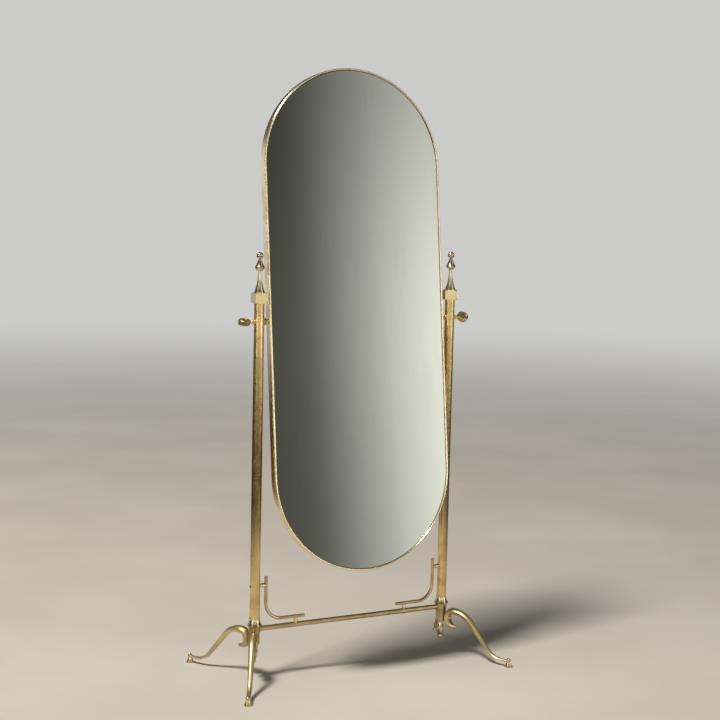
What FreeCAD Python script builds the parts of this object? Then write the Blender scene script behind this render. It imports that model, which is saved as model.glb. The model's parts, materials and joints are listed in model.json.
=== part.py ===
import FreeCAD, Part
import math
import os
from FreeCAD import Vector

# A cheval floor mirror: two round posts on three-way hubs with S-curved legs, a stretcher with two
# curved corner brackets, and a pill-shaped mirror that tilts on two thumb screws at mid-height.
# Millimetres. +Z is up, the glass faces -Y, and the origin is on the floor midway between the posts.

# ------------------------------------------------------------------ overall sizes
mirror_width = 545.0
mirror_height = 1400.0
collar_base_height = 148.8  # floor to the underside of the hub collars
swing_clearance = 145.5  # from the stretcher up to the lower end of the mirror when it hangs upright
block_above_pivot = 50.9  # from the tilt axis up to the underside of the square blocks
pivot_above_centre = 1.0  # the tilt axis lies this far above the middle of the mirror
lean_angle = 6.8  # the top leans back by this much

# ------------------------------------------------------------------ clearances and fits
running_clearance = 0.05  # on the radius of a shaft that turns in a bore
passing_clearance = 0.2  # on the radius of a bolt in a clear hole
face_gap = 0.3  # between flat faces that move past each other
glass_gap = 0.5  # round the edge of the glass and of the backing board

# ------------------------------------------------------------------ posts
post_radius = 14.0
post_wall = 2.0
seat_depth = 18.5  # the tube stands this deep in the hub collar
plug_length = 30.0
stud_radius = 4.0
stud_in_plug = 26.0
stud_end_room = 1.0  # left past the ends of the studs

# ------------------------------------------------------------------ square block and finial
block_overhang = 4.0  # each face of the block stands this far outside the tube
block_height = 28.0
block_flat = 1.6  # the turned chamfer leaves a flat circle this much wider than the faces
block_chamfer_slope = 0.55
left_block_turn = -2.0  # the blocks screw down by hand and stop a little out of square
right_block_turn = -18.0
finial_height = 109.5
finial_base_radius = 15.0
finial_rim_height = 1.5
finial_neck_radius = 4.2
finial_neck_height = 58.5
bulb_radius = 13.2
bulb_height = 69.5
top_neck_radius = 3.8
top_ball_radius = 9.4
stud_in_finial = 14.0

# ------------------------------------------------------------------ tilt screws and their bearings
shaft_radius = 4.0
bush_wall = 2.0
bush_flange_width = 1.5
bush_flange_reach = 2.5  # how far the flange stands off the post
bush_tail = 1.5  # how far the bush stands out on the knob's side
washer_radius = 9.5
washer_thickness = 3.9
washer_round = 0.8
boss_wall = 3.0
boss_length = 6.5
boss_spigot_wall = 1.5
boss_round = 1.0
knob_radius = 16.0
knob_thickness = 15.5
knob_centre = 44.0  # from the post's axis to the middle of the knob
knob_shoulder_width = 2.5
knob_flutes = 20
flute_radius = 1.9
knob_edge_round = 3.6
knob_dish_radius = 10.5
knob_dish_depth = 1.2
knob_dish_land = 3.5  # between the dish and the neck's wide end
flute_stand_off = 0.45  # of a flute's radius, from the rim out to its middle
left_knob_turn = 12.5  # from face up towards face forward
right_knob_turn = 47.0

# ------------------------------------------------------------------ mirror
frame_depth = 28.0
frame_wall = 2.0
lip_width = 7.0
lip_thickness = 3.0
lip_round = 1.2
glass_thickness = 4.0
board_thickness = 6.0
tab_width = 14.0
tab_reach = 14.0
tab_thickness = 1.0
tab_depth = 9.0
tab_solder = 0.1
tab_end_distance = 57.5  # from the ends of the straight sides to the tabs nearest to them
tab_spacing = 220.0  # from those tabs on to the next, towards the middle
tab_end_angle = 35.0  # of the tabs in the round ends, from the upright

# ------------------------------------------------------------------ hub
collar_flare = 6.5  # the collar's widest ring stands this far outside the tube
collar_lip_wall = 1.0
collar_height = 23.0
collar_skirt = 3.0  # from the collar's underside to its widest ring
collar_lip_height = 1.0
neck_step = 2.5  # the neck is this much larger in radius than the tube
neck_margin = 2.0  # of the neck above and below the stretcher
core_step = 1.0  # the core is this much larger in radius than the tube
core_height = 33.0
core_base_round = 3.0
hub_edge = 1.0  # the broken edges of the neck
pendant_ring_radius = 10.2
pendant_length = 53.8
pendant_cap_height = 18.0
pendant_top_radius = 7.5
pendant_neck_radius = 4.0
pendant_ball_radius = 6.3
pendant_bore_depth = 30.0
leg_screw_radius = 2.5
leg_screw_head_radius = 4.6
leg_screw_head_height = 3.0
leg_screw_grip = 6.5
grub_radius = 2.0
grub_height = 14.0  # above the collar's underside
grub_length = 1.7
left_grub_bearing = 24.0  # from straight ahead towards the left
right_grub_bearing = 180.0

# ------------------------------------------------------------------ stretcher and corner brackets
stretcher_radius = 7.0
stretcher_socket = 4.5  # how deep the full rod enters the hub's neck
spigot_radius = 4.0
spigot_length = 5.5
bolt_end_room = 0.5  # left past the ends of bolts, screws and spigots
bracket_radius = 4.5
post_spool_gap = 14.5  # between the tube and the bracket's upright arm
stretcher_spool_gap = 11.7  # between the stretcher and the bracket's level arm
bracket_top = 146.0  # upright arm's end above the stretcher's axis
bracket_end = 153.0  # level arm's end to the post's axis
bracket_bend = 48.0
bracket_edge_round = 0.8
post_spool_height = 122.0  # above the stretcher's axis
stretcher_spool_offset = 126.0  # from the post's axis
spool_radius = 6.0
spool_waist = 4.6
spool_end = 2.5
spool_wrap = 3.0  # how far the ends of a spool reach round the bracket's rod
bracket_screw_radius = 2.0
bracket_screw_head_radius = 3.6
bracket_screw_head_height = 2.0
bracket_screw_bite = 2.0  # past the axis of the bracket's rod

# ------------------------------------------------------------------ legs and feet
leg_bearing = 62.3  # from straight outward towards the front, and the same towards the back
foot_reach = 231.3
leg_width_at_hub = 27.0
leg_width_at_toe = 12.0
leg_thickness_at_hub = 16.5
leg_thickness_at_toe = 6.5
leg_taper = 2.2  # above 1, the width falls away sooner towards the toe
leg_even_share = 0.95  # of the way out, where the toe's thickness becomes even under the foot's nut
leg_seat = 0.8  # the stem is let into the core this far, so that it seats all round
leg_flat_share = 0.8  # of the strap's width, the flat on its inside
leg_shoulder_share = 0.08  # of its thickness, from the middle line out to the crown's edges
scroll_radius = 23.8
scroll_start_angle = -80.0  # the tail's end, below and outside the scroll's centre
scroll_drop = 21.5  # from the underside of the hub's neck down to the scroll's centre
scroll_tip_radius = 5.0
scroll_tail_thickness = 8.0
scroll_steps = 14  # sections along the scroll
leg_slope = 49.5  # of the straight stretch between the arch and the toe
arch_share = 0.557  # of the two bends, how much of their radius the arch takes
toe_straight = 24.0
toe_height = 18.5  # toe's middle line above the floor
foot_radius = 11.0
foot_rim_height = 2.0
foot_top_radius = 6.4
foot_stud_radius = 3.0
foot_nut_radius = 4.8
foot_nut_height = 4.2
foot_nut_dome = 1.5  # of solid metal over the stud
leg_eye_wall = 0.4  # the round eye over the foot is this much wider than the toe

# ------------------------------------------------------------------ worked out from the sizes above
half_width = mirror_width / 2
straight_half = (mirror_height - mirror_width) / 2
side_gap = bush_flange_reach + washer_thickness + boss_length + 2 * face_gap
half_spacing = half_width + side_gap + post_radius
post_bore = post_radius - post_wall
bush_radius = shaft_radius + bush_wall
bush_flange_radius = bush_radius + bush_flange_width
boss_radius = shaft_radius + boss_wall
boss_spigot_radius = shaft_radius + boss_spigot_wall
knob_shoulder_radius = shaft_radius + knob_shoulder_width
collar_radius = post_radius + collar_flare
collar_lip_radius = post_radius + collar_lip_wall
neck_radius = post_radius + neck_step
core_radius = post_radius + core_step
neck_height = 2 * (stretcher_radius + neck_margin)
post_base_height = collar_base_height + collar_height - seat_depth
neck_base_height = collar_base_height - neck_height
core_base_height = neck_base_height - core_height
scroll_centre_height = neck_base_height - scroll_drop
stretcher_height = collar_base_height - neck_height / 2
lower_half = mirror_height / 2 + pivot_above_centre
pivot_height = stretcher_height + stretcher_radius + swing_clearance + lower_half
block_base_height = pivot_height + block_above_pivot
block_side = 2 * (post_radius + block_overhang)
lip_front = -frame_depth / 2
glass_front = lip_front + lip_thickness
board_front = glass_front + glass_thickness
board_back = board_front + board_thickness
inner_half_width = half_width - frame_wall
bracket_offset = post_radius + post_spool_gap + bracket_radius
bracket_height = stretcher_height + stretcher_radius + stretcher_spool_gap + bracket_radius

UP = Vector(0, 0, 1)
ORIGIN = Vector(0, 0, 0)
ALONG_X = Vector(1, 0, 0)
ALONG_Y = Vector(0, 1, 0)
nodes = {}


def outline(start, *steps):
    """Closed outline in the XZ plane. A pair is a straight run to a point. Three numbers are an arc to a
    point, whose middle stands that far off the chord, to the right of the way it is drawn."""
    edges = []
    first = Vector(start[0], 0, start[1])
    here = first
    for step in steps:
        there = Vector(step[0], 0, step[1])
        if len(step) == 2:
            edges.append(Part.LineSegment(here, there).toShape())
        else:
            chord = there - here
            to_right = Vector(chord.z, 0, -chord.x).normalize()
            middle = (here + there) * 0.5 + to_right * step[2]
            edges.append(Part.Arc(here, middle, there).toShape())
        here = there
    edges.append(Part.LineSegment(here, first).toShape())
    return Part.Wire(edges)


def turned(start, *steps):
    """A piece turned about the Z axis from half its section."""
    return Part.Face(outline(start, *steps)).revolve(ORIGIN, UP, 360)


def rod(radius, start, end):
    """A round rod between two points."""
    run = end - start
    return Part.makeCylinder(radius, run.Length, start, run)


def across(radius, x_from, x_to, height):
    """A round rod along X at a height on the post's axis."""
    return rod(radius, Vector(x_from, 0, height), Vector(x_to, 0, height))


def upright(radius, z_from, z_to):
    """A round rod along the post's axis."""
    return rod(radius, Vector(0, 0, z_from), Vector(0, 0, z_to))


def raised(shape, height):
    return shape.translated(Vector(0, 0, height))


def spun(shape, angle, axis=UP, centre=ORIGIN):
    """A copy of the shape turned about an axis by an angle in degrees."""
    copy = shape.copy()
    copy.rotate(centre, axis, angle)
    return copy


def lying_along_x(shape):
    """Lays a piece that was turned about Z along +X."""
    return spun(shape, 90, ALONG_Y)


def on_side(shape, side):
    """Moves a piece built about the right-hand post to its own post, mirrored for the left one."""
    if side == "left":
        shape = shape.mirror(ORIGIN, ALONG_X)
        return shape.translated(Vector(-half_spacing, 0, 0))
    return shape.translated(Vector(half_spacing, 0, 0))


# ------------------------------------------------------------------ posts, plugs, blocks, finials
def post_tube():
    tube = upright(post_radius, post_base_height, block_base_height)
    tube = tube.cut(upright(post_bore, post_base_height, block_base_height))
    tube = tube.cut(across(bush_radius, -post_radius, post_radius, pivot_height))
    screw_height = stretcher_height + post_spool_height
    return tube.cut(across(bracket_screw_radius, -post_radius, post_radius, screw_height))


def plug(z_from, z_to):
    return upright(post_bore, z_from, z_to).cut(upright(stud_radius, z_from, z_to))


def square_block(turn):
    box = Part.makeBox(block_side, block_side, block_height, Vector(-block_side / 2, -block_side / 2, 0))
    corner = block_side / math.sqrt(2)
    flat = block_side / 2 + block_flat
    drop = (corner - flat) * block_chamfer_slope
    chamfered = turned(
        (0, 0), (flat, 0), (corner, drop), (corner, block_height - drop), (flat, block_height),
        (0, block_height))
    block = box.common(chamfered)
    block = block.cut(upright(stud_radius + passing_clearance, 0, block_height))
    return raised(spun(block, turn), block_base_height)


def finial():
    ball_centre = finial_height - top_ball_radius
    ball_rise = math.sqrt(top_ball_radius ** 2 - top_neck_radius ** 2)
    body = turned(
        (0, 0), (finial_base_radius, 0), (finial_base_radius, finial_rim_height),
        (finial_neck_radius, finial_neck_height, -2.8),
        (bulb_radius, bulb_height, 1.6),
        (top_neck_radius, ball_centre - ball_rise, -0.8),
        (0, ball_centre - ball_rise))
    body = body.fuse(Part.makeSphere(top_ball_radius, Vector(0, 0, ball_centre)))
    body = body.cut(upright(stud_radius, 0, stud_in_finial))
    return raised(body.removeSplitter(), block_base_height + block_height)


def finial_stud():
    top = block_base_height + block_height + stud_in_finial
    return upright(stud_radius, block_base_height - stud_in_plug, top)


# ------------------------------------------------------------------ hub: collar, body, pendant, stud
def hub_collar():
    cup = turned(
        (0, 0), (neck_radius, 0), (collar_radius, collar_skirt, 0.6),
        (collar_lip_radius, collar_height - collar_lip_height, -1.4), (collar_lip_radius, collar_height),
        (0, collar_height))
    floor = collar_height - seat_depth
    cup = cup.cut(upright(post_radius, floor, collar_height))
    cup = cup.cut(upright(stud_radius + passing_clearance, 0, floor))
    return raised(cup, collar_base_height)


def grub_screw(bearing):
    """The headless screw that locks the tube in the collar, just below the collar's surface."""
    return grub_cylinder(bearing, grub_length)


def grub_cylinder(bearing, length):
    """A cylinder of the grub screw's size, straight out from the tube's surface."""
    angle = math.radians(bearing)
    aim = Vector(-math.sin(angle), -math.cos(angle), 0)
    level = Vector(0, 0, collar_base_height + grub_height)
    return rod(grub_radius, level + aim * post_radius, level + aim * (post_radius + length))


def grub_hole(bearing):
    """The grub screw's hole, right through the collar's side."""
    return grub_cylinder(bearing, collar_flare + 1)


def hub_body():
    top = neck_height + core_height
    body = turned(
        (0, 0), (core_radius - core_base_round, 0), (core_radius, core_base_round, 0.8),
        (core_radius, core_height - hub_edge), (neck_radius - hub_edge, core_height),
        (neck_radius, core_height + hub_edge, 0.3), (neck_radius, top - hub_edge),
        (neck_radius - hub_edge, top, 0.3), (0, top))
    body = raised(body, core_base_height)
    body = body.cut(upright(stud_radius + passing_clearance, core_base_height, collar_base_height))
    socket_end = neck_radius - stretcher_socket
    body = body.cut(across(stretcher_radius, -neck_radius - 1, -socket_end, stretcher_height))
    body = body.cut(across(spigot_radius, -socket_end, -socket_end + spigot_length, stretcher_height))
    screw_hole = across(leg_screw_radius, core_radius - leg_screw_grip, core_radius, scroll_centre_height)
    return body.cut([spun(screw_hole, -leg_bearing), spun(screw_hole, leg_bearing)])


def pendant():
    ring = pendant_length - pendant_cap_height
    ball_rise = math.sqrt(pendant_ball_radius ** 2 - pendant_neck_radius ** 2)
    body = turned(
        (0, pendant_ball_radius), (pendant_neck_radius, pendant_ball_radius + ball_rise),
        (pendant_ring_radius - 0.6, ring - 3.0, 2.0), (pendant_ring_radius - 1.6, ring - 2.0),
        (pendant_ring_radius, ring - 1.0), (pendant_ring_radius, ring),
        (pendant_top_radius, pendant_length, -1.2), (0, pendant_length))
    body = body.fuse(Part.makeSphere(pendant_ball_radius, Vector(0, 0, pendant_ball_radius)))
    body = body.cut(upright(stud_radius, pendant_length - pendant_bore_depth, pendant_length))
    return raised(body.removeSplitter(), core_base_height - pendant_length)


def hub_stud():
    top = post_base_height + stud_in_plug
    return upright(stud_radius, core_base_height - pendant_bore_depth + stud_end_room, top)


# ------------------------------------------------------------------ legs, their screws, and feet
def leg_path():
    """The leg's middle line, out from the post's axis: the scroll, the arch, the slope and the toe."""
    stem = core_radius - leg_seat + leg_thickness_at_hub / 2
    scroll = Vector(stem + scroll_radius, 0, scroll_centre_height)
    crest = scroll + UP * scroll_radius
    toe_start = Vector(foot_reach - toe_straight, 0, toe_height)
    slope = math.radians(leg_slope)
    fall = (crest.z - toe_start.z) * math.sin(slope) / (1 - math.cos(slope))
    straight = fall - (toe_start.x - crest.x)
    bends = (toe_start.x - crest.x - straight * math.cos(slope)) / math.sin(slope)
    arch_radius = bends * arch_share
    toe_radius = bends - arch_radius
    curl = arc_points(scroll, scroll_radius, 360 + scroll_start_angle, 90, scroll_steps)
    over = arc_points(crest - UP * arch_radius, arch_radius, 90, 90 - leg_slope, 7)
    level_out = arc_points(toe_start + UP * toe_radius, toe_radius, 270 - leg_slope, 270, 6)
    end = (Vector(foot_reach, 0, toe_height), ALONG_X)
    down = straight_points(over[-1], level_out[0], 4)
    toe = straight_points(level_out[-1], end, 3)
    return curl + over[1:] + down + level_out + toe + [end]


def straight_points(start, end, count):
    """Points between two others on a straight run, without the two."""
    run = end[0] - start[0]
    return [(start[0] + run * (step / count), start[1]) for step in range(1, count)]


def arc_points(centre, radius, angle_from, angle_to, count):
    """Points on an arc in the XZ plane, each with the way that the path runs there."""
    found = []
    sense = 1 if angle_to > angle_from else -1
    for step in range(count + 1):
        angle = math.radians(angle_from + (angle_to - angle_from) * step / count)
        spoke = Vector(math.cos(angle), 0, math.sin(angle))
        found.append((centre + spoke * radius, Vector(-spoke.z, 0, spoke.x) * sense))
    return found


def strap_section(point, heading, width, thickness):
    """A strap's section: flat inside, short sides, and a crowned back on the left of the path."""
    back = Vector(-heading.z, 0, heading.x)
    side = Vector(0, width / 2, 0)
    inner = point - back * (thickness / 2)
    shoulder = point + back * (thickness * leg_shoulder_share)
    flat = side * leg_flat_share
    crown = point + back * (thickness / 2)
    return Part.Wire([
        Part.LineSegment(inner + flat, inner - flat).toShape(),
        Part.LineSegment(inner - flat, shoulder - side).toShape(),
        Part.Arc(shoulder - side, crown, shoulder + side).toShape(),
        Part.LineSegment(shoulder + side, inner + flat).toShape()])


def leg(bearing):
    path = leg_path()
    travelled = [0.0]
    for here, there in zip(path, path[1:]):
        travelled.append(travelled[-1] + (there[0] - here[0]).Length)
    scroll_end = travelled[scroll_steps]
    sections = []
    for (point, heading), distance in zip(path, travelled):
        if distance <= scroll_end:
            share = distance / scroll_end
            tip_width = 2 * scroll_tip_radius
            width = tip_width + (leg_width_at_hub - tip_width) * min(1, share * 2)
            fullness = min(1, share * 3)
            thickness = scroll_tail_thickness + (leg_thickness_at_hub - scroll_tail_thickness) * fullness
        else:
            share = (distance - scroll_end) / (travelled[-1] - scroll_end)
            width = leg_width_at_toe + (leg_width_at_hub - leg_width_at_toe) * (1 - share) ** leg_taper
            thinning = min(1, share / leg_even_share)
            thickness = leg_thickness_at_hub + (leg_thickness_at_toe - leg_thickness_at_hub) * thinning
        sections.append(strap_section(point, heading, width, thickness))
    strap = Part.makeLoft(sections, True)
    tip = Part.makeSphere(scroll_tip_radius, path[0][0])
    eye_radius = leg_width_at_toe / 2 + leg_eye_wall
    eye_base = Vector(foot_reach, 0, toe_height - leg_thickness_at_toe / 2)
    eye = Part.makeCylinder(eye_radius, leg_thickness_at_toe, eye_base)
    whole = strap.fuse([tip, eye])
    whole = whole.cut(upright(core_radius, core_base_height, neck_base_height + 2.0))
    whole = whole.cut(upright(neck_radius, neck_base_height - 0.1, collar_base_height))
    seat = leg_screw_seat()
    head_hole = leg_screw_head_radius + passing_clearance
    whole = whole.cut(across(head_hole, seat, seat + scroll_radius, scroll_centre_height))
    whole = whole.cut(across(leg_screw_radius + passing_clearance, 0, seat + 1, scroll_centre_height))
    foot_space = Part.makeCylinder(foot_radius, eye_base.z, Vector(foot_reach, 0, 0))
    stud_hole = foot_stud_radius + passing_clearance
    stud = Part.makeCylinder(stud_hole, leg_thickness_at_toe + 2, eye_base - UP)
    return spun(whole.cut([foot_space, stud]), bearing)


def leg_screw_seat():
    return core_radius - leg_seat + leg_thickness_at_hub


def leg_screw(bearing):
    """Round-headed screw through the stem of a leg, its head inside the scroll."""
    head = turned(
        (0, 0), (leg_screw_head_radius, 0), (leg_screw_head_radius, 0.8),
        (0.6, leg_screw_head_height, 0.7), (0, leg_screw_head_height))
    head = lying_along_x(head).translated(Vector(leg_screw_seat(), 0, scroll_centre_height))
    shank_end = core_radius - leg_screw_grip + bolt_end_room
    shank = across(leg_screw_radius, shank_end, leg_screw_seat(), scroll_centre_height)
    return spun(head.fuse(shank), bearing)


def foot(bearing):
    top = toe_height - leg_thickness_at_toe / 2
    bell = turned(
        (0, 0), (foot_radius - 0.8, 0), (foot_radius, 0.8, 0.2), (foot_radius, foot_rim_height),
        (foot_top_radius, top, -0.4), (0, top))
    stud_end = toe_height + leg_thickness_at_toe / 2 + foot_nut_height - foot_nut_dome
    bell = bell.fuse(upright(foot_stud_radius, top - 1, stud_end))
    return spun(bell.removeSplitter().translated(Vector(foot_reach, 0, 0)), bearing)


def foot_nut(bearing):
    """Small domed nut on the foot's stud, above the toe."""
    nut = turned(
        (0, 0), (foot_nut_radius, 0), (foot_nut_radius, 1.2), (0.8, foot_nut_height, 0.9),
        (0, foot_nut_height))
    nut = nut.cut(upright(foot_stud_radius, 0, foot_nut_height - foot_nut_dome))
    nut = nut.translated(Vector(foot_reach, 0, toe_height + leg_thickness_at_toe / 2))
    return spun(nut, bearing)


# ------------------------------------------------------------------ stretcher and corner brackets
def stretcher_rod():
    reach = half_spacing - neck_radius + stretcher_socket
    bar = across(stretcher_radius, -reach, reach, stretcher_height)
    spigot_reach = reach + spigot_length - bolt_end_room
    bar = bar.fuse(across(spigot_radius, -spigot_reach, spigot_reach, stretcher_height)).removeSplitter()
    for side in (-1, 1):
        place = Vector(side * (half_spacing - stretcher_spool_offset), 0, stretcher_height)
        hole = Vector(0, 0, stretcher_radius + 1)
        bar = bar.cut(rod(bracket_screw_radius, place - hole, place + hole))
    return bar


def post_screw_end():
    """Where the screw through the post ends, in the bracket's upright arm."""
    return -bracket_offset - bracket_screw_bite


def stretcher_screw_end():
    return bracket_height + bracket_screw_bite


def corner_bracket():
    top = Vector(-bracket_offset, 0, stretcher_height + bracket_top)
    bend_top = Vector(-bracket_offset, 0, bracket_height + bracket_bend)
    centre = bend_top - Vector(bracket_bend, 0, 0)
    half_turn = math.radians(45)
    bend_middle = centre + Vector(math.cos(half_turn), 0, -math.sin(half_turn)) * bracket_bend
    bend_end = centre - Vector(0, 0, bracket_bend)
    end = Vector(-bracket_end, 0, bracket_height)
    path = Part.Wire([
        Part.LineSegment(top, bend_top).toShape(),
        Part.Arc(bend_top, bend_middle, bend_end).toShape(),
        Part.LineSegment(bend_end, end).toShape()])
    section = Part.Wire([Part.Circle(top, UP, bracket_radius).toShape()])
    bent = path.makePipeShell([section], True, True)
    ends = []
    for edge in bent.Edges:
        middle = edge.CenterOfMass
        if min((middle - top).Length, (middle - end).Length) < 0.1:
            ends.append(edge)
    bent = bent.makeFillet(bracket_edge_round, ends)
    post_level = stretcher_height + post_spool_height
    bent = bent.cut(across(bracket_screw_radius, post_screw_end(), 0, post_level))
    foot_of_screw = Vector(-stretcher_spool_offset, 0, stretcher_height)
    end_of_screw = Vector(-stretcher_spool_offset, 0, stretcher_screw_end())
    return bent.cut(rod(bracket_screw_radius, foot_of_screw, end_of_screw))


def spool(length):
    """Turned spacer with a bead between two rims, drilled for its screw."""
    body = turned(
        (0, 0), (spool_radius, 0), (spool_radius, spool_end), (spool_waist, spool_end + 0.8),
        (spool_waist, length - spool_end - 0.8, 1.2), (spool_radius, length - spool_end),
        (spool_radius, length), (0, length))
    return body.cut(upright(bracket_screw_radius, 0, length))


def saddle_depth(round_radius):
    """How far the rim of a spool reaches down the sides of a larger round bar."""
    return round_radius - math.sqrt(round_radius ** 2 - spool_radius ** 2) + 0.2


def post_spool():
    height = stretcher_height + post_spool_height
    start = post_radius - saddle_depth(post_radius)
    length = bracket_offset - bracket_radius + spool_wrap - start
    piece = spun(spool(length), -90, ALONG_Y).translated(Vector(-start, 0, height))
    piece = piece.cut(upright(post_radius, height - spool_radius - 1, height + spool_radius + 1))
    arm = Vector(-bracket_offset, 0, 0)
    arm_from = arm + Vector(0, 0, height - spool_radius - 1)
    arm_to = arm + Vector(0, 0, height + spool_radius + 1)
    return piece.cut(rod(bracket_radius, arm_from, arm_to))


def stretcher_spool():
    start = stretcher_height + stretcher_radius - saddle_depth(stretcher_radius)
    length = bracket_height - bracket_radius + spool_wrap - start
    piece = spool(length).translated(Vector(-stretcher_spool_offset, 0, start))
    x_from = -stretcher_spool_offset - spool_radius - 1
    x_to = -stretcher_spool_offset + spool_radius + 1
    piece = piece.cut(across(stretcher_radius, x_from, x_to, stretcher_height))
    return piece.cut(across(bracket_radius, x_from, x_to, bracket_height))


def pan_screw(length):
    """Pan-headed screw along +Z, with the underside of its head at the origin."""
    head = turned(
        (0, -bracket_screw_head_height), (1.2, -bracket_screw_head_height),
        (bracket_screw_head_radius, -0.6, 0.5), (bracket_screw_head_radius, 0), (0, 0))
    return head.fuse(upright(bracket_screw_radius, 0, length)).removeSplitter()


def post_screw():
    length = post_radius - post_screw_end() - bolt_end_room
    height = stretcher_height + post_spool_height
    return spun(pan_screw(length), -90, ALONG_Y).translated(Vector(post_radius, 0, height))


def stretcher_screw():
    start = stretcher_height - stretcher_radius
    length = stretcher_screw_end() - start - bolt_end_room
    return pan_screw(length).translated(Vector(-stretcher_spool_offset, 0, start))


# ------------------------------------------------------------------ tilt bearing and thumb screws
def pivot_bush():
    """Flanged sleeve through the post, saddled to the tube on the mirror's side."""
    flange_end = -post_radius - bush_flange_reach
    sleeve = across(bush_radius, flange_end, post_radius + bush_tail, pivot_height)
    flange = across(bush_flange_radius, flange_end, -post_radius + 3.0, pivot_height)
    tall = bush_flange_radius + 1
    flange = flange.cut(upright(post_radius, pivot_height - tall, pivot_height + tall))
    bush = sleeve.fuse(flange)
    bore = across(shaft_radius + running_clearance, flange_end, post_radius + bush_tail, pivot_height)
    return bush.cut(bore).removeSplitter()


def pivot_washer():
    """Loose spacer that fills the room between the bush and the mirror's boss."""
    outer = -post_radius - bush_flange_reach - face_gap
    inner = -post_radius - side_gap + boss_length + face_gap
    ring = across(washer_radius, inner, outer, pivot_height)
    ring = ring.makeFillet(washer_round, rims(ring, washer_radius))
    return ring.cut(across(shaft_radius + running_clearance, inner, outer, pivot_height))


def rims(shape, radius):
    """The full circles of that radius among a shape's edges."""
    return [edge for edge in shape.Edges if abs(edge.Length - 2 * math.pi * radius) < 0.01]


def tilt_knob(turn):
    """Thumb screw: a round paddle with a fluted rim, a flared neck and the shaft that carries the mirror."""
    head = Part.makeCylinder(knob_radius, knob_thickness, Vector(0, 0, -knob_thickness / 2))
    head = head.makeFillet(knob_edge_round, rims(head, knob_radius))
    for step in range(knob_flutes):
        angle = 2 * math.pi * (step + 0.5) / knob_flutes
        reach = knob_radius + flute_radius * flute_stand_off
        place = Vector(reach * math.cos(angle), reach * math.sin(angle), -knob_thickness)
        head = head.cut(Part.makeCylinder(flute_radius, 2 * knob_thickness, place))
    for face in (-1, 1):
        floor = face * (knob_thickness / 2 - knob_dish_depth)
        dish = rod(knob_dish_radius, Vector(0, 0, floor), Vector(0, 0, face * knob_thickness))
        head = head.cut(dish)
    head = head.translated(Vector(knob_centre, 0, 0))
    shoulder = post_radius + bush_tail + face_gap
    inside = knob_centre - knob_dish_radius - knob_dish_land
    shaft_end = -post_radius - side_gap - frame_wall + bolt_end_room
    stem = turned(
        (0, shaft_end), (shaft_radius, shaft_end), (shaft_radius, shoulder),
        (knob_shoulder_radius, shoulder), (knob_shoulder_radius, shoulder + 1.5),
        (knob_shoulder_radius - 1.0, shoulder + 2.2), (shaft_radius + 0.3, shoulder + 4.5, -0.4),
        (knob_thickness / 2 - knob_dish_depth, inside, -0.8), (0, inside))
    whole = head.fuse(lying_along_x(stem))
    return spun(whole, turn, ALONG_X).translated(Vector(0, 0, pivot_height))


# ------------------------------------------------------------------ mirror, built upright about its tilt axis
def pill(half, y_from, y_to):
    """A slab with two round ends: half its width, and the depths of its front and back."""
    middle = -pivot_above_centre
    top = middle + straight_half
    low = middle - straight_half
    right_low = Vector(half, y_from, low)
    right_top = Vector(half, y_from, top)
    left_top = Vector(-half, y_from, top)
    left_low = Vector(-half, y_from, low)
    wire = Part.Wire([
        Part.LineSegment(right_low, right_top).toShape(),
        Part.Arc(right_top, Vector(0, y_from, top + half), left_top).toShape(),
        Part.LineSegment(left_top, left_low).toShape(),
        Part.Arc(left_low, Vector(0, y_from, low - half), right_low).toShape()])
    return Part.Face(wire).extrude(Vector(0, y_to - y_from, 0))


def leaned(shape):
    return raised(spun(shape, -lean_angle, ALONG_X), pivot_height)


def mirror_frame():
    back = frame_depth / 2
    band = pill(half_width, lip_front, back).cut(pill(inner_half_width, glass_front, back))
    band = band.cut(pill(half_width - lip_width, lip_front, glass_front))
    front_edges = []
    for edge in band.Edges:
        if edge.BoundBox.YMax < lip_front + 0.01:
            front_edges.append(edge)
    band = band.makeFillet(lip_round, front_edges)
    for side in (-1, 1):
        start = Vector(side * (inner_half_width - 2), 0, 0)
        end = Vector(side * (half_width + 1), 0, 0)
        band = band.cut(rod(boss_spigot_radius, start, end))
    return leaned(band)


def mirror_glass():
    return leaned(pill(inner_half_width - glass_gap, glass_front, board_front))


def backing_board():
    return leaned(pill(inner_half_width - glass_gap, board_front, board_back))


def retaining_tab():
    """Small angle with its foot on the band, at x = 0, and its other leg over the board."""
    base = -tab_width / 2
    foot_leg = Part.makeBox(tab_thickness, tab_depth, tab_width, Vector(-tab_thickness, board_back, base))
    hold_leg = Part.makeBox(tab_reach, tab_thickness, tab_width, Vector(-tab_reach, board_back, base))
    return foot_leg.fuse(hold_leg).removeSplitter()


def retaining_tabs():
    wall = inner_half_width - tab_solder
    tabs = []
    outermost = straight_half - tab_end_distance
    for height in (outermost, outermost - tab_spacing):
        for sign in (-1, 1):
            level = sign * height - pivot_above_centre
            tabs.append(retaining_tab().translated(Vector(wall, 0, level)))
            tabs.append(spun(retaining_tab(), 180, ALONG_Y).translated(Vector(-wall, 0, level)))
    for upward in (-1, 1):
        for sideways in (-1, 1):
            angle = 90 * upward - sideways * upward * tab_end_angle
            tab = spun(retaining_tab().translated(Vector(wall, 0, 0)), -angle, ALONG_Y)
            tabs.append(tab.translated(Vector(0, 0, upward * straight_half - pivot_above_centre)))
    return leaned(Part.makeCompound(tabs))


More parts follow.
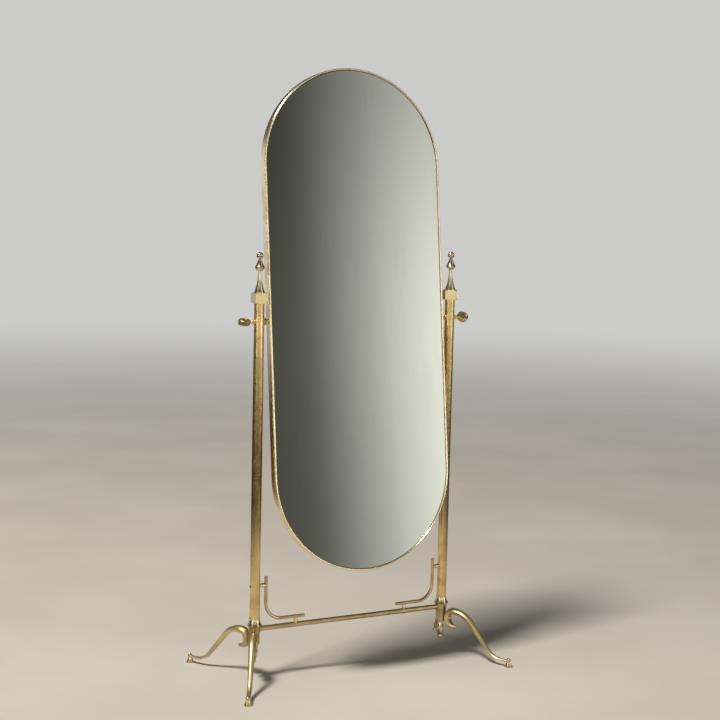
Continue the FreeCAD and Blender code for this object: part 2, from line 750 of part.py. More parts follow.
def frame_boss():
    """Threaded bush riveted through the band, which the thumb screw enters."""
    inner = -post_radius - side_gap - frame_wall
    wall = -post_radius - side_gap
    body = across(boss_radius, wall, wall + boss_length, 0)
    ends = [edge for edge in body.Edges if edge.BoundBox.XMin > wall + boss_length - 0.01 and edge.Closed]
    body = body.makeFillet(boss_round, ends)
    body = body.fuse(across(boss_spigot_radius, inner, wall, 0)).removeSplitter()
    bore = across(shaft_radius + running_clearance, inner, wall + boss_length, 0)
    return leaned(body.cut(bore))


# ------------------------------------------------------------------ the whole object
def build_side(side, block_turn, knob_turn, grub_bearing):
    own = {
        "post_tube": post_tube(),
        "post_top_plug": plug(block_base_height - plug_length, block_base_height),
        "post_bottom_plug": plug(post_base_height, post_base_height + plug_length),
        "finial": finial(),
        "finial_stud": finial_stud(),
        "hub_body": hub_body(),
        "hub_pendant": pendant(),
        "hub_stud": hub_stud(),
        "stretcher_spool": stretcher_spool(),
        "post_spool": post_spool(),
        "bracket_post_screw": post_screw(),
        "bracket_stretcher_screw": stretcher_screw(),
        "corner_bracket": corner_bracket(),
        "pivot_bush": pivot_bush(),
        "frame_boss": frame_boss(),
        "front_leg": leg(-leg_bearing),
        "rear_leg": leg(leg_bearing),
        "front_foot": foot(-leg_bearing),
        "rear_foot": foot(leg_bearing),
    }
    for name, shape in own.items():
        nodes[side + "_" + name] = on_side(shape, side)
    sense = -1 if side == "left" else 1
    nodes[side + "_block"] = on_side(square_block(sense * block_turn), side)
    nodes[side + "_tilt_knob"] = on_side(tilt_knob(knob_turn), side)
    grub = grub_screw(sense * grub_bearing)
    nodes[side + "_grub_screw"] = on_side(grub, side)
    nodes[side + "_hub_collar"] = on_side(hub_collar().cut(grub_hole(sense * grub_bearing)), side)


def build_groups():
    """Identical fasteners share a node."""
    screws = []
    nuts = []
    for side in ("left", "right"):
        for bearing in (-leg_bearing, leg_bearing):
            screws.append(on_side(leg_screw(bearing), side))
            nuts.append(on_side(foot_nut(bearing), side))
    nodes["leg_screws"] = Part.makeCompound(screws)
    nodes["foot_nuts"] = Part.makeCompound(nuts)


build_side("left", left_block_turn, left_knob_turn, left_grub_bearing)
build_side("right", right_block_turn, right_knob_turn, right_grub_bearing)
build_groups()
nodes["left_pivot_washer"] = on_side(pivot_washer(), "left")
nodes["stretcher_rod"] = stretcher_rod()
nodes["mirror_frame"] = mirror_frame()
nodes["mirror_glass"] = mirror_glass()
nodes["backing_board"] = backing_board()
nodes["retaining_tabs"] = retaining_tabs()

os.makedirs("parts", exist_ok=True)
for name, shape in nodes.items():
    shape.exportStep("parts/" + name + ".step")
    print(name, "solids", len(shape.Solids), "volume", round(shape.Volume), "valid", shape.isValid())
print(len(nodes), "nodes")
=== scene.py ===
# %% [markdown]
# # A cheval floor mirror in brass
#
# A tall pill-shaped mirror tilts between two brass posts. The posts stand on turned hubs with S-curved
# legs, and a stretcher with two curved corner brackets ties them together. The engineer's model is
# loaded first and never moved, so every finish and every finer piece is made to fit round it. All
# lengths are in metres.

# %% Load the frame
import json
import math

import bmesh
import bpy
from mathutils import Matrix, Vector


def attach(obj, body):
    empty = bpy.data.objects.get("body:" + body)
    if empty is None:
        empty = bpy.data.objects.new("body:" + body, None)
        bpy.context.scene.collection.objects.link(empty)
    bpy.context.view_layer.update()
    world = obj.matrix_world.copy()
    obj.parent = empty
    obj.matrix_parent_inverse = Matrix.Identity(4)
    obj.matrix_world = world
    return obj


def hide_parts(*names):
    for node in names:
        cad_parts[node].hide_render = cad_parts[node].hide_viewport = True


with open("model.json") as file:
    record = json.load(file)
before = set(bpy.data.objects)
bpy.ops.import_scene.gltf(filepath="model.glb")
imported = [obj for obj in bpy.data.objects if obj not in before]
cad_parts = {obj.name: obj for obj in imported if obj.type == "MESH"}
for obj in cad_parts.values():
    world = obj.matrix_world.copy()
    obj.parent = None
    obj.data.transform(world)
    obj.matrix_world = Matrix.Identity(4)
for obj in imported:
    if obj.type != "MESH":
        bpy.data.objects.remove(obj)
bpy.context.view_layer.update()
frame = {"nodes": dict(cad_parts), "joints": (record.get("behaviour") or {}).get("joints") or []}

# %% [markdown]
# ## The camera
#
# A camera is a place and three directions: right, up and backward. Yaw and pitch give the way it
# looks, and a small roll turns it about that way. Setting the matrix straight from those directions
# avoids juggling Euler angles, and a long lens keeps the uprights nearly parallel.

# %% Camera
camera_place = Vector((-2.03711, -3.85647, 1.38182))
camera_yaw = math.radians(27.98)
camera_pitch = math.radians(-6.57)
camera_roll = math.radians(1.30)

ahead = Vector((
    math.sin(camera_yaw) * math.cos(camera_pitch),
    math.cos(camera_yaw) * math.cos(camera_pitch),
    math.sin(camera_pitch)))
level_right = ahead.cross(Vector((0, 0, 1))).normalized()
level_up = level_right.cross(ahead)
right = level_right * math.cos(camera_roll) + level_up * math.sin(camera_roll)
up = level_up * math.cos(camera_roll) - level_right * math.sin(camera_roll)

camera = bpy.data.objects.new("camera", bpy.data.cameras.new("camera"))
camera.data.sensor_width = 36.0
camera.data.lens = 78.333
camera.data.clip_end = 200.0
camera.matrix_world = Matrix.Translation(camera_place) @ Matrix((right, up, -ahead)).transposed().to_4x4()
bpy.context.scene.collection.objects.link(camera)
bpy.context.scene.camera = camera
print("camera looks along", tuple(round(value, 3) for value in ahead))

# %% [markdown]
# ## Sums on sockets
#
# A material is a network of nodes, and long chains of Math nodes are hard to read. This small class
# wraps an output socket, so that `1 - mask * 0.3` adds the Math nodes by itself. Its method `node`
# makes any node from its type, its settings and its sockets' values or links.

# %% The socket class
class Wire:
    """An output socket that takes part in Python sums."""

    def __init__(self, tree, socket):
        self.tree = tree
        self.socket = socket

    @staticmethod
    def node(tree, kind, settings=None, sockets=None, output=0):
        made = tree.nodes.new("ShaderNode" + kind)
        for name, value in (settings or {}).items():
            if name == "stops":
                ramp = made.color_ramp
                while len(ramp.elements) < len(value):
                    ramp.elements.new(1.0)
                for element, (position, shade) in zip(ramp.elements, value):
                    element.position = position
                    element.color = (*shade, 1.0)
            elif name == "ramp_interpolation":
                made.color_ramp.interpolation = value
            else:
                setattr(made, name, value)
        for key, value in (sockets or {}).items():
            if isinstance(value, Wire):
                tree.links.new(value.socket, made.inputs[key])
            else:
                made.inputs[key].default_value = value
        return Wire(tree, made.outputs[output]) if made.outputs else None

    def maths(self, operation, first, second):
        return Wire.node(self.tree, "Math", {"operation": operation}, {0: first, 1: second})

    def __add__(self, other):
        return self.maths("ADD", self, other)

    def __sub__(self, other):
        return self.maths("SUBTRACT", self, other)

    def __rsub__(self, other):
        return self.maths("SUBTRACT", other, self)

    def __mul__(self, other):
        return self.maths("MULTIPLY", self, other)

    def __truediv__(self, other):
        return self.maths("DIVIDE", self, other)

    def __rtruediv__(self, other):
        return self.maths("DIVIDE", other, self)

    __radd__ = __add__
    __rmul__ = __mul__

    def larger(self, other):
        return self.maths("MAXIMUM", self, other)

    def spread(self, low, high, new_low=0.0, new_high=1.0):
        """A smooth step: new_low at low, new_high at high, and held beyond both."""
        return Wire.node(
            self.tree, "MapRange", {"interpolation_type": "SMOOTHSTEP"},
            {"Value": self, "From Min": low, "From Max": high, "To Min": new_low, "To Max": new_high})

    def between(self, start, end):
        """One inside a stretch and nothing outside it, each end given as (nothing, full)."""
        return self.spread(*start) * self.spread(*end)


print("socket class:", Wire.__doc__)

# %% [markdown]
# ### Colours and empty materials
#
# A Math node would turn a colour grey, so colours are mixed by a Mix node and made brighter or darker
# by Vector Math. Every material starts from an empty node tree, so that nothing in it is left over
# from Blender's defaults.

# %% Helpers for colours and materials
def colour_mix(tree, factor, first, second):
    return Wire.node(tree, "Mix", {"data_type": "RGBA"}, {0: factor, 6: first, 7: second}, output=2)


def vector_maths(tree, operation, first, second):
    return Wire.node(tree, "VectorMath", {"operation": operation}, {0: first, 1: second})


def scaled(tree, colour, amount):
    return Wire.node(tree, "VectorMath", {"operation": "SCALE"}, {0: colour, "Scale": amount})


def new_material(name):
    material = bpy.data.materials.new(name)
    material.use_nodes = True
    material.node_tree.nodes.clear()
    return material


def set_surface(tree, shader):
    Wire.node(tree, "OutputMaterial", {}, {"Surface": shader})


print("colour helpers:", colour_mix.__name__, vector_maths.__name__, scaled.__name__)

# %% [markdown]
# ## The floor
#
# The floor is a wide pale disc that fades out towards its rim, so it has no visible edge. A plain
# grey disc would look cut out of paper, so a slow noise moves its colour a little. In the polished
# metal it fades much sooner, because there a whole pale floor would wash the brass out.

# %% Floor
floor_radius = 14.0
floor_fade = (2.6, 11.0)
floor_fade_in_metal = (1.1, 2.5)
floor_colours = ((0.60, 0.56, 0.50, 1), (0.66, 0.62, 0.56, 1))

floor_mesh = bpy.data.meshes.new("studio_floor")
shaper = bmesh.new()
bmesh.ops.create_circle(shaper, cap_ends=True, segments=96, radius=floor_radius)
shaper.to_mesh(floor_mesh)
shaper.free()
floor = bpy.data.objects.new("studio_floor", floor_mesh)
bpy.context.scene.collection.objects.link(floor)

floor_material = new_material("pale_floor")
tree = floor_material.node_tree
place = Wire.node(tree, "TexCoord", output="Object")
distance = Wire.node(tree, "VectorMath", {"operation": "LENGTH"}, {0: place}, output="Value")
cloud = Wire.node(tree, "TexNoise", {}, {"Vector": place, "Scale": 1.3, "Detail": 4.0})
matt = Wire.node(tree, "BsdfPrincipled", {}, {
    "Base Color": colour_mix(tree, cloud.spread(0.35, 0.7), *floor_colours), "Roughness": 0.75})
clear = Wire.node(tree, "BsdfTransparent")
in_metal = Wire.node(tree, "LightPath", output="Is Glossy Ray")
fade = distance.spread(*floor_fade).larger(distance.spread(*floor_fade_in_metal) * in_metal)
set_surface(tree, Wire.node(tree, "MixShader", {}, {0: fade, 1: matt, 2: clear}))
floor_mesh.materials.append(floor_material)
print("floor radius", floor_radius)

# %% [markdown]
# ## The room that the metal sees
#
# Polished brass and silvered glass have hardly any colour of their own: they show the room. The room
# could be built from walls and panels, but a world shader does it with no geometry, because a
# reflected ray asks it only for a direction. Two values are enough. `rise` is the height of that
# direction, and `slant` is how far it leans to the right for each step to the front.

# %% Directions
world = bpy.data.worlds.new("studio")
bpy.context.scene.world = world
world.use_nodes = True
tree = world.node_tree
tree.nodes.clear()

least_toward_front = 0.03
direction = Wire.node(tree, "TexCoord", output="Generated")
across, along, rise = (Wire.node(tree, "SeparateXYZ", {}, {0: direction}, output=axis) for axis in "XYZ")
slant = across / (along * -1).larger(least_toward_front)
print("slant is right over front, front held above", least_toward_front)

# %% [markdown]
# ### What the glass shows
#
# A flat mirror shows only a narrow strip of the room. That strip goes from dim at the left to pale at
# the right, in unequal steps, and the gradient is what makes the glass look silvered and not like a
# grey panel. A colour ramp with B-spline stops draws it without bands. Further to the right, where
# only the rounded brass looks, the strip flares up and ends.

# %% The strip in the glass
glass_slants = (0.45, 0.602)
glass_shades = [
    (0.00, (0.066, 0.066, 0.052)), (0.22, (0.090, 0.090, 0.075)), (0.36, (0.180, 0.180, 0.152)),
    (0.52, (0.350, 0.350, 0.305)), (0.70, (0.530, 0.530, 0.470)), (1.00, (0.940, 0.940, 0.825))]
strip_left_end, strip_right_end = (0.40, 0.43), (1.5, 1.1)
flare_slants, flare = (0.62, 0.80), 4.2

bearing = Wire.node(tree, "MapRange", {}, {
    "Value": slant, "From Min": glass_slants[0], "From Max": glass_slants[1]})
strip = Wire.node(
    tree, "ValToRGB", {"ramp_interpolation": "B_SPLINE", "stops": glass_shades}, {"Fac": bearing})
strip_light = slant.between(strip_right_end, strip_left_end) * slant.spread(*flare_slants, 1.0, flare)
strip = scaled(tree, strip, strip_light)
print("the glass shows slants", glass_slants, "in", len(glass_shades), "shades")

# %% [markdown]
# ### Window and panel
#
# A bright window in front with dark walls beside it gives every round brass part a bright core and
# dark edges. Its far left end is hotter, for a thin second light line near the left edge of each
# round part. The camera looks down a little on the flat front of the left block, so that face shows
# a low part of the room, and a low panel under the strip is there to light it.

# %% Window and low panel
window_colour = (1.25, 1.17, 1.02)
window_left_end, window_right_end = (-3.6, -3.0), (0.36, 0.22)
window_top = (0.62, 0.45)
hot_end, hot_extra = (-2.1, -2.3), 3.5
low_panel_colour = (3.6, 3.3, 2.7)
low_panel_left_end, low_panel_right_end = (0.30, 0.36), (0.62, 0.55)
low_panel_top, low_panel_bottom = (-0.045, -0.056), (-0.125, -0.105)

window = slant.between(window_left_end, window_right_end) * rise.spread(*window_top)
window = window * (1 + slant.spread(*hot_end) * hot_extra)
low_panel = slant.between(low_panel_left_end, low_panel_right_end)
low_panel = low_panel * rise.between(low_panel_top, low_panel_bottom)
front_wall = vector_maths(tree, "ADD", strip, scaled(tree, window_colour, window))
front_wall = vector_maths(tree, "ADD", front_wall, scaled(tree, low_panel_colour, low_panel))
print("window between slants", window_left_end[1], "and", window_right_end[1])

# %% [markdown]
# ### Walls, ceiling and far floor
#
# What is left of the room is dim. The side walls are nearly dark, and one patch at the left of the
# back wall is brighter, for the side of the mirror's band to show. Above and below, the walls go over
# softly into a ceiling and a brown far floor.

# %% The rest of the room
side_wall_colour = (0.055, 0.050, 0.042)
back_wall_colour = (0.10, 0.10, 0.10)
ceiling_colour = (0.16, 0.16, 0.15, 1)
far_floor_colour = (0.034, 0.030, 0.022, 1)
upper_wall, upper_wall_loss = (0.08, 0.32), 0.55
back_patch_along, back_patch_across = 0.87, 0.5
back_patch_edge, back_patch_extra = (0.955, 0.985), 6.5
front_starts = (-0.1, 0.1)
ceiling_starts = (0.5, 0.85)
far_floor_starts = (-0.085, -0.120)

front_wall = vector_maths(tree, "MAXIMUM", front_wall, side_wall_colour)
front_wall = scaled(tree, front_wall, 1 - rise.spread(*upper_wall) * upper_wall_loss)
back_patch = (along * back_patch_along - across * back_patch_across).spread(*back_patch_edge)
back_wall = scaled(tree, back_wall_colour, 1 + back_patch * back_patch_extra)
room = colour_mix(tree, (along * -1).spread(*front_starts), back_wall, front_wall)
room = colour_mix(tree, rise.spread(*ceiling_starts), room, ceiling_colour)
room = colour_mix(tree, rise.spread(*far_floor_starts), room, far_floor_colour)
print("the ceiling starts at rise", ceiling_starts[0], "and the far floor at", far_floor_starts[0])

# %% [markdown]
# ### Who sees what
#
# The camera sees a plain pale backdrop and never the room. The matt floor gets only about half of the
# room's light, so that the lamp's shadow stays clear on it. The Light Path node tells the kinds of
# ray apart.

# %% World output
backdrop_colour = (0.60, 0.60, 0.59, 1)
room_lost_on_matt = 0.48

matt_ray = Wire.node(tree, "LightPath", output="Is Diffuse Ray")
room = scaled(tree, room, 1 - matt_ray * room_lost_on_matt)
seen = Wire.node(tree, "Background", {}, {"Color": backdrop_colour, "Strength": 1.0})
felt = Wire.node(tree, "Background", {}, {"Color": room, "Strength": 1.0})
camera_ray = Wire.node(tree, "LightPath", output="Is Camera Ray")
backdrop = Wire.node(tree, "MixShader", {}, {0: camera_ray, 1: felt, 2: seen})
Wire.node(tree, "OutputWorld", {}, {"Surface": backdrop})
print("world nodes:", len(tree.nodes))

# %% [markdown]
# ### The lamp
#
# One large soft box hangs high at the left, a little in front, and throws the soft shadow to the right
# and back. It hangs far off, because a near lamp would light the near floor much more than the far
# floor. The Standard view transform keeps the pale floor and the brass as bright as they are given.

# %% Lamp
softbox_place = Vector((-4.6, -1.2, 9.2))
softbox_target = Vector((0, 0, 0.6))
softbox_width = 2.0
softbox_power = 1010
warm_white = (1.0, 0.96, 0.90)

softbox = bpy.data.objects.new("main_softbox", bpy.data.lights.new("main_softbox", "AREA"))
softbox.data.shape = "RECTANGLE"
softbox.data.size = softbox_width
softbox.data.size_y = softbox_width
softbox.data.energy = softbox_power
softbox.data.color = warm_white
softbox.location = softbox_place
softbox.rotation_euler = (softbox_target - softbox_place).to_track_quat("-Z", "Y").to_euler()
softbox.visible_camera = False
bpy.context.scene.collection.objects.link(softbox)
bpy.context.scene.view_settings.view_transform = "Standard"

# %% [markdown]
# ## The brass
#
# Old brass is never one colour. Its lacquer wears off where hands and cloths rub it, so edges are
# pale and bright, and the metal under the rest goes olive and brown in soft clouds with small dark
# specks. Drawn tube keeps fine lines along its length, and turned pieces keep them round their
# axis. One function makes all of the brass from a few values: two colours, a roughness, and how the
# fine lines run.
#
# Two noises give the clouds and specks, a third, stretched along the grain, gives the lines. The
# Bevel node finds edges: where its rounded normal leaves the true one, the surface turns sharply.

# %% The brass recipe
edge_wear = 0.6
edge_paling = 1.15
worn_edge_width = 0.0008


def brass(
        name, pale, deep, roughness, grain,
        clouds=0.5, specks=0.25, scratch=0.35, pits=0.5, drawn=0.0):
    material = new_material(name)
    tree = material.node_tree

    def node(kind, settings=None, sockets=None, output=0):
        return Wire.node(tree, kind, settings, sockets, output)

    place = node("TexCoord", output="Object")
    stretched = vector_maths(tree, "MULTIPLY", place, grain)
    big = node("TexNoise", {}, {"Vector": place, "Scale": 17.0, "Detail": 4.0, "Roughness": 0.62})
    small = node("TexNoise", {}, {"Vector": place, "Scale": 260.0, "Detail": 3.0, "Roughness": 0.6})
    lines = node("TexNoise", {}, {"Vector": stretched, "Scale": 1.0, "Detail": 3.0, "Roughness": 0.7})
    rounded = node("Bevel", {"samples": 4}, {"Radius": worn_edge_width})
    true_normal = node("NewGeometry", output="Normal")
    agreement = node("VectorMath", {"operation": "DOT_PRODUCT"}, {0: rounded, 1: true_normal}, output="Value")
    edge = (1 - agreement).spread(0.02, 0.25) * edge_wear

    cloud = big.spread(0.36, 0.66)
    speck = small.spread(0.60, 0.72)
    tarnish = (cloud * clouds + speck * specks + (lines - 0.5) * 0.35).spread(0.0, 1.0)
    tarnish = tarnish * (1 - edge)
    rubbed = tuple(min(1.0, value * edge_paling) for value in pale)
    colour = colour_mix(tree, tarnish, (*pale, 1), (*deep, 1))
    colour = colour_mix(tree, edge * 0.5, colour, (*rubbed, 1))
    rough = roughness + cloud * 0.07 + speck * 0.10 + (lines - 0.5) * 0.10 - edge * 0.08
    height = lines * scratch + (small - speck * 0.8) * pits
    bumped = node("Bump", {}, {"Strength": 0.12, "Distance": 0.0004, "Height": height, "Normal": rounded})
    set_surface(tree, node("BsdfPrincipled", {}, {
        "Base Color": colour, "Metallic": 1.0, "Roughness": rough, "Anisotropic": drawn, "Normal": bumped}))
    return material


print("worn edges are", worn_edge_width * 1000, "mm wide")

# %% [markdown]
# ### One brass for each kind of work
#
# Each piece shows how it was made. Tube and rod are drawn, hubs and finials are turned and polished,
# legs are cast and left duller, and the blocks are flat and bright. `grain` says how fast the noise
# changes along X, Y and Z, so the lines run in the direction with the low number. `drawn` spreads
# the highlight of the posts round the tube, as fine lines along it do.

# %% Kinds of brass
along_z = (900.0, 900.0, 14.0)
along_x = (14.0, 900.0, 900.0)
round_z = (30.0, 30.0, 1400.0)
round_x = (1400.0, 30.0, 30.0)
no_grain = (300.0, 300.0, 300.0)

brass_kinds = {
    "drawn_post_brass": dict(
        pale=(0.80, 0.60, 0.28), deep=(0.42, 0.29, 0.11), roughness=0.22, grain=along_z,
        scratch=0.25, pits=0.08, drawn=0.85),
    "drawn_rod_brass": dict(
        pale=(0.58, 0.44, 0.23), deep=(0.31, 0.22, 0.10), roughness=0.28, grain=along_x),
    "bent_rod_brass": dict(
        pale=(0.60, 0.45, 0.22), deep=(0.32, 0.22, 0.09), roughness=0.26, grain=no_grain),
    "block_brass": dict(
        pale=(1.00, 0.86, 0.50), deep=(0.93, 0.74, 0.37), roughness=0.27, grain=no_grain,
        clouds=0.35, specks=0.12, pits=0.15),
    "turned_brass": dict(
        pale=(0.70, 0.58, 0.38), deep=(0.36, 0.27, 0.14), roughness=0.15, grain=round_z, clouds=0.4),
    "hub_brass": dict(
        pale=(0.50, 0.38, 0.20), deep=(0.20, 0.14, 0.06), roughness=0.15, grain=round_z, clouds=0.6),
    "turned_pin_brass": dict(
        pale=(0.80, 0.66, 0.42), deep=(0.42, 0.30, 0.14), roughness=0.20, grain=round_x),
    "cast_leg_brass": dict(
        pale=(0.66, 0.53, 0.29), deep=(0.37, 0.28, 0.12), roughness=0.40, grain=no_grain),
    "knob_brass": dict(
        pale=(0.84, 0.64, 0.30), deep=(0.34, 0.22, 0.08), roughness=0.27, grain=no_grain, clouds=0.7),
    # near-black brass for the small screws, also used as painted shade on the sight edge strip
    "blackened_brass_and_painted_shade": dict(
        pale=(0.16, 0.13, 0.09), deep=(0.05, 0.04, 0.03), roughness=0.42, grain=no_grain),
    "band_brass": dict(
        pale=(0.94, 0.80, 0.55), deep=(0.66, 0.50, 0.29), roughness=0.20, grain=no_grain, clouds=0.4),
}
finishes = {name: brass(name, **values) for name, values in brass_kinds.items()}
print("brass finishes:", sorted(finishes))

# %% [markdown]
# ## The silvered glass
#
# A mirror is a sheet of glass with silver behind it. For the eye the silver is what counts, so the
# glass is a nearly perfect metal with a faint green cast. A trace of haze and wiping streaks dulls it
# here and there, and a very faint ripple keeps it from looking like a computer's plane.

# %% Silvered glass
def silvered_glass():
    material = new_material("silvered_glass")
    tree = material.node_tree
    place = Wire.node(tree, "TexCoord", output="Object")
    haze = Wire.node(tree, "TexNoise", {}, {"Vector": place, "Scale": 3.0, "Detail": 5.0, "Roughness": 0.6})
    streak = vector_maths(tree, "MULTIPLY", place, (40.0, 40.0, 6.0))
    wiped = Wire.node(tree, "TexNoise", {}, {"Vector": streak, "Scale": 1.0, "Detail": 3.0})
    film = haze.spread(0.4, 0.7) * wiped.spread(0.4, 0.7)
    ripple = Wire.node(tree, "TexNoise", {}, {"Vector": place, "Scale": 5.0, "Detail": 1.0})
    bumped = Wire.node(tree, "Bump", {}, {"Strength": 0.02, "Distance": 0.001, "Height": ripple})
    set_surface(tree, Wire.node(tree, "BsdfPrincipled", {}, {
        "Base Color": colour_mix(tree, film, (0.905, 0.925, 0.900, 1), (0.865, 0.880, 0.855, 1)),
        "Metallic": 1.0, "Roughness": 0.015 + film * 0.02, "Normal": bumped}))
    return material


finishes["silvered_glass"] = silvered_glass()
print("made", finishes["silvered_glass"].name)

# %% [markdown]
# ## Hardboard and steel
#
# The board behind the glass is plain hardboard, brown with short fibres, which a distorted noise
# stretched one way gives. The hidden screws and studs are zinc-plated steel, with a fine crystal
# grain and dull patches.

# %% Hardboard and steel
def hardboard():
    material = new_material("hardboard")
    tree = material.node_tree
    place = Wire.node(tree, "TexCoord", output="Object")
    fibre_place = vector_maths(tree, "MULTIPLY", place, (260.0, 260.0, 90.0))
    fibres = Wire.node(tree, "TexNoise", {}, {
        "Vector": fibre_place, "Scale": 1.0, "Detail": 5.0, "Distortion": 1.2})
    patches = Wire.node(tree, "TexNoise", {}, {"Vector": place, "Scale": 4.0, "Detail": 3.0})
    tone = (fibres * 0.7 + patches * 0.3).spread(0.3, 0.7)
    bumped = Wire.node(tree, "Bump", {}, {"Strength": 0.35, "Distance": 0.0005, "Height": fibres})
    set_surface(tree, Wire.node(tree, "BsdfPrincipled", {}, {
        "Base Color": colour_mix(tree, tone, (0.13, 0.072, 0.036, 1), (0.27, 0.165, 0.09, 1)),
        "Roughness": 0.62 + fibres * 0.2, "Normal": bumped}))
    return material


def plated_steel():
    material = new_material("plated_steel")
    tree = material.node_tree
    place = Wire.node(tree, "TexCoord", output="Object")
    grain = Wire.node(tree, "TexNoise", {}, {"Vector": place, "Scale": 500.0, "Detail": 3.0})
    dull = Wire.node(tree, "TexNoise", {}, {"Vector": place, "Scale": 90.0, "Detail": 3.0})
    bumped = Wire.node(tree, "Bump", {}, {"Strength": 0.15, "Distance": 0.0003, "Height": grain})
    set_surface(tree, Wire.node(tree, "BsdfPrincipled", {}, {
        "Base Color": colour_mix(tree, dull.spread(0.35, 0.65), (0.66, 0.66, 0.64, 1), (0.46, 0.45, 0.42, 1)),
        "Metallic": 1.0, "Roughness": 0.28 + grain * 0.2, "Normal": bumped}))
    return material


finishes["hardboard"] = hardboard()
finishes["plated_steel"] = plated_steel()
print("finishes in all:", len(finishes))

# %% [markdown]
# ## Which piece has which finish
#
# The pieces come in left and right pairs with the same name after the side, so the finish is looked
# up by that shared name. What isn't in the list is a stud or screw of plated steel.

# %% Hand out the finishes
piece_finish = {
    "post_tube": "drawn_post_brass", "block": "block_brass", "finial": "turned_brass",
    "tilt_knob": "knob_brass", "pivot_bush": "turned_pin_brass", "frame_boss": "turned_pin_brass",
    "pivot_washer": "knob_brass", "hub_collar": "turned_brass", "hub_body": "hub_brass",
    "hub_pendant": "turned_brass", "front_leg": "cast_leg_brass", "rear_leg": "cast_leg_brass",
    "front_foot": "turned_brass", "rear_foot": "turned_brass", "foot_nuts": "turned_brass",
    "leg_screws": "turned_brass", "corner_bracket": "bent_rod_brass", "post_spool": "turned_pin_brass",
    "stretcher_spool": "turned_pin_brass", "stretcher_rod": "drawn_rod_brass", "mirror_frame": "band_brass",
    "retaining_tabs": "band_brass", "mirror_glass": "silvered_glass", "backing_board": "hardboard",
    "post_top_plug": "drawn_post_brass", "post_bottom_plug": "drawn_post_brass",
    "grub_screw": "blackened_brass_and_painted_shade", "bracket_post_screw": "blackened_brass_and_painted_shade",
}
counts = {}
for name, piece in frame["nodes"].items():
    shared_name = name.split("_", 1)[1] if name.startswith(("left_", "right_")) else name
    finish = piece_finish.get(shared_name, "plated_steel")
    piece.data.materials.clear()
    piece.data.materials.append(finishes[finish])
    counts[finish] = counts.get(finish, 0) + 1
print("pieces by finish:", counts)

# %% [markdown]
# ## The mirror's outline
#
# The mirror is a pill: two half circles joined by two straight sides, leaning back a little about the
# thumb screws. Its outline is walked in stations, each with a middle point and an outward direction,
# and `in_mirror` carries any point of the upright mirror to where the leaning one has it.

# %% Outline
mirror_half_width = 0.2725
mirror_half_height = 0.7
mirror_straight = mirror_half_height - mirror_half_width
mirror_centre_drop = 0.001
lean = math.radians(-6.8)
tilt_joint = next(joint for joint in frame["joints"] if joint["name"] == "mirror_tilt")
tilt_axis_height = tilt_joint["pos_m"][2]


def mirror_stations(arc_steps, straight_steps):
    """Middle points and outward directions round the outline."""
    stations = []
    for side in (1, -1):
        for step in range(straight_steps):
            level = -side * mirror_straight + 2 * side * mirror_straight * step / straight_steps
            stations.append(((0.0, level), (float(side), 0.0)))
        for step in range(arc_steps):
            angle = math.pi * step / arc_steps
            stations.append(((0.0, side * mirror_straight), (side * math.cos(angle), side * math.sin(angle))))
    return stations


def in_mirror(x, y, z):
    """A point given in the upright mirror, moved to where the leaning mirror has it."""
    upright = Vector((x, y, z - mirror_centre_drop))
    return Matrix.Rotation(lean, 4, "X") @ upright + Vector((0, 0, tilt_axis_height))


outline = mirror_stations(arc_steps=72, straight_steps=24)
print("stations round the mirror:", len(outline), "tilt axis at", tilt_axis_height)

# %% [markdown]
# ### Mouldings
#
# A frame maker bends one long moulding round the glass, and the script does the same. A section is a
# short list of points, each with its distance in from the outer edge and its depth. It hangs on every
# station, and quads join each ring of points to the next. A curve with a bevel profile could do it
# too, but here every point stays where the section says.

# %% Moulding
def finished_piece(name, shaper, sharp_angle=38):
    """Turns a bmesh into a smooth-shaded object whose sharp edges stay sharp."""
    mesh = bpy.data.meshes.new(name)
    shaper.to_mesh(mesh)
    shaper.free()
    mesh.polygons.foreach_set("use_smooth", [True] * len(mesh.polygons))
    mesh.set_sharp_from_angle(angle=math.radians(sharp_angle))
    piece = bpy.data.objects.new(name, mesh)
    bpy.context.scene.collection.objects.link(piece)
    return piece


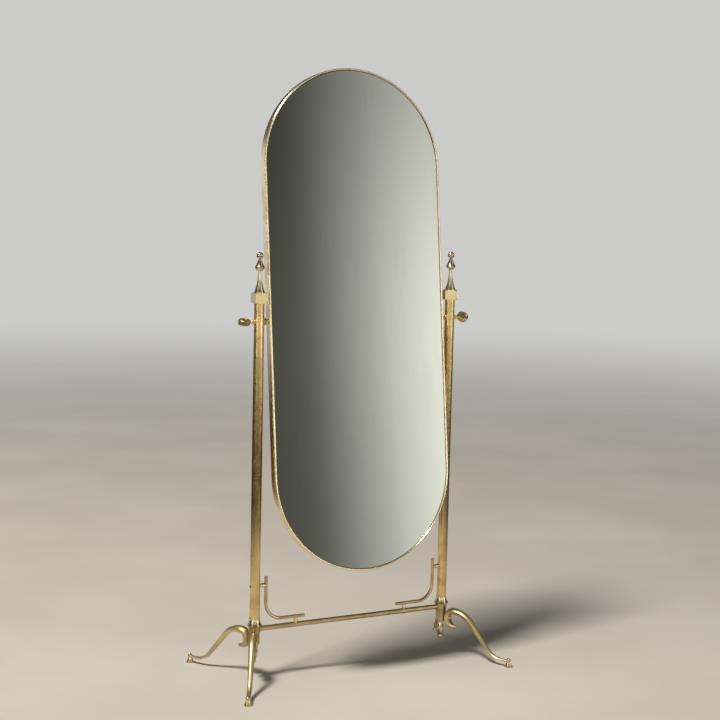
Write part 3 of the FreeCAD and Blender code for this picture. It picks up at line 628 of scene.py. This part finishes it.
def moulding(name, section, stations):
    """A mesh that carries a closed section round the mirror's outline."""
    shaper = bmesh.new()
    rings = []
    for (middle_x, middle_z), (out_x, out_z) in stations:
        ring = []
        for inset, depth in section:
            reach = mirror_half_width - inset
            point = in_mirror(middle_x + out_x * reach, depth, middle_z + out_z * reach)
            ring.append(shaper.verts.new(point))
        rings.append(ring)
    for index, ring in enumerate(rings):
        following = rings[(index + 1) % len(rings)]
        for corner in range(len(section)):
            other = (corner + 1) % len(section)
            shaper.faces.new((ring[corner], ring[other], following[other], following[corner]))
    bmesh.ops.recalc_face_normals(shaper, faces=shaper.faces)
    return finished_piece(name, shaper)


print("mouldings reach", mirror_half_width, "m out from the middle line")

# %% [markdown]
# ### Band and bead
#
# The frame is a strip of brass bent round the glass, with a half-round bead along its front edge. A
# bead is never flat, so some part of it always catches a light, and that thin bright line is what
# draws the mirror's outline. A fine groove parts the bead from the band.

# %% Band and bead
band_half_depth = 0.014
band_wall = 0.002
band_edge_round = 0.0004
bead_width, bead_rise = 0.0055, 0.003
bead_steps = 14
bead_root = -band_half_depth + bead_rise
groove_depth = 0.0004
groove_back, groove_floor_back, groove_floor_front = 0.0012, 0.0008, 0.0002

band_section = [
    (band_edge_round, band_half_depth), (0.0, band_half_depth - band_edge_round),
    (0.0, bead_root + groove_back), (groove_depth, bead_root + groove_floor_back),
    (groove_depth, bead_root + groove_floor_front)]
for step in range(1, bead_steps):
    turn = math.pi * step / bead_steps
    band_section.append((bead_width / 2 * (1 - math.cos(turn)), bead_root - bead_rise * math.sin(turn)))
band_section += [
    (bead_width, bead_root), (band_wall, bead_root),
    (band_wall, band_half_depth - band_edge_round), (band_wall - band_edge_round, band_half_depth)]
band = moulding("band_and_bead", band_section, outline)
band.data.materials.append(finishes["band_brass"])
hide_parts("mirror_frame")
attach(band, "mirror")
print("band and bead:", len(band.data.polygons), "faces")

# %% [markdown]
# ### The sight edge, a painted shade
#
# Between the bead and the glass lies a narrow step, coloured nearly black as painted shade: the thin
# dark line there is the shade and dark reflection along the bead's inner side, and it parts the
# bright bead from the bright glass. It is carried round the same outline as the bead, with a small
# section of its own.

# %% Sight edge, painted shade
lip_width = 0.007
step_rise = 0.0007
step_edge_round = 0.0002
step_front = bead_root - step_rise

step_section = [
    (bead_width, step_front), (lip_width - step_edge_round, step_front),
    (lip_width, step_front + step_edge_round), (lip_width, bead_root), (bead_width, bead_root)]
painted_shade_sight_edge = moulding("painted_shade_sight_edge", step_section, outline)
# the near-black finish here is painted shade between the bead and the glass
painted_shade_sight_edge.data.materials.append(finishes["blackened_brass_and_painted_shade"])
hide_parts("mirror_frame")
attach(painted_shade_sight_edge, "mirror")
print("sight edge:", len(painted_shade_sight_edge.data.polygons), "faces")
